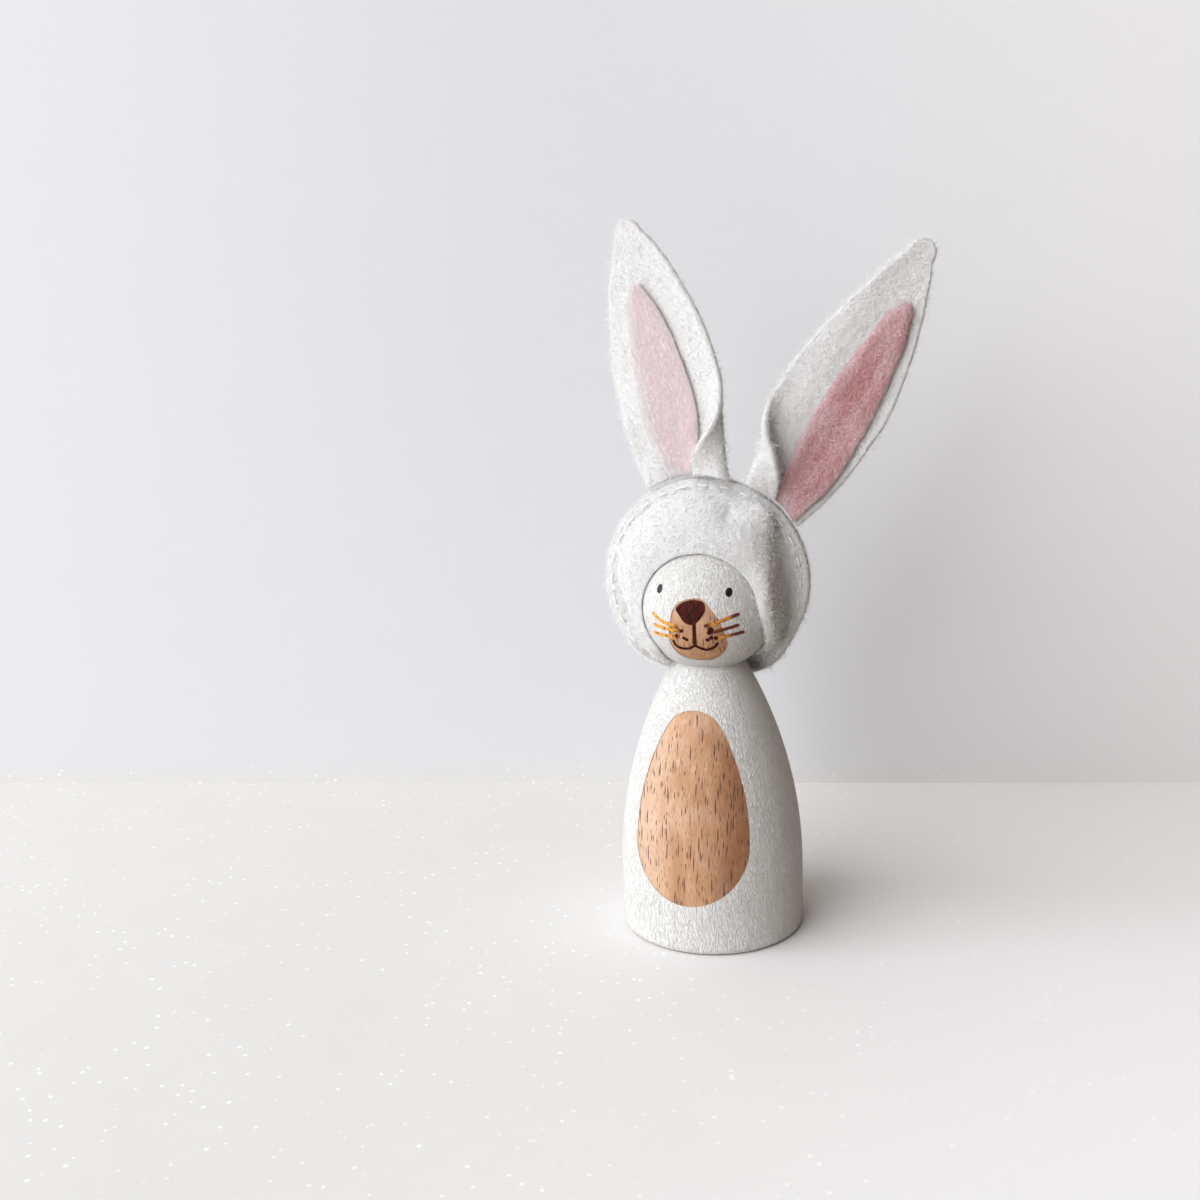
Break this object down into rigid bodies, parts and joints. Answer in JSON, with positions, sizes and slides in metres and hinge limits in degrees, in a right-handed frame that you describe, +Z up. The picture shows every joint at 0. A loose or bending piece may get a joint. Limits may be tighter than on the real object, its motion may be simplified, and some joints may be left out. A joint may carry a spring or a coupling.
{
  "type": "peg doll",
  "caption": "Turned wooden peg doll painted as a white rabbit, with a ball head, a stitched felt hood and long bendable pink-lined felt ears.",
  "frame": {"origin": "centre of the flat underside of the foot, where the doll stands", "axes": "+Z up along the turned peg, -Y the way the face looks, +X to the viewer's right when the face is seen from the front"},
  "size_m": [0.0621, 0.0362, 0.1382],
  "materials": {
    "beech": "bare sanded beech",
    "white_paint": "brushed matte white paint over wood grain",
    "black_paint": "slightly glossy black paint",
    "brown_ink": "dark brown ink",
    "orange_paint": "orange-brown paint",
    "russet_paint": "russet brown paint",
    "white_felt": "white wool felt",
    "pink_felt": "pink wool felt",
    "white_thread": "white cotton thread"
  },
  "bodies": {
    "peg": {"peg": "beech", "paint_coat": "white_paint", "left_eye": "black_paint", "right_eye": "black_paint", "nose": "brown_ink", "mouth": "brown_ink", "left_whiskers": "orange_paint", "right_whiskers": "russet_paint", "whisker_dots": "brown_ink"},
    "hood": {"hood_front": "white_felt", "hood_back": "white_felt", "hood_thread": "white_thread"},
    "left_ear": {"left_ear": "white_felt", "left_ear_lining": "pink_felt"},
    "right_ear": {"right_ear": "white_felt", "right_ear_lining": "pink_felt"}
  },
  "joints": [
    {"name": "hood_turn", "type": "hinge", "parent": "peg", "child": "hood", "pos_m": [0, 0, 0.066], "axis": [0, 0, 1], "range_deg": [-45, 45]},
    {"name": "left_ear_bend", "type": "hinge", "parent": "hood", "child": "left_ear", "pos_m": [-0.00379, 0.0022, 0.0902], "axis": [-0.9882, 0, -0.153], "range_deg": [-10, 60], "stiffness_Nm_per_rad": 0.003},
    {"name": "right_ear_bend", "type": "hinge", "parent": "hood", "child": "right_ear", "pos_m": [0.0133, 0.0022, 0.08514], "axis": [-0.7455, 0, 0.6665], "range_deg": [-10, 60], "stiffness_Nm_per_rad": 0.003}
  ]
}
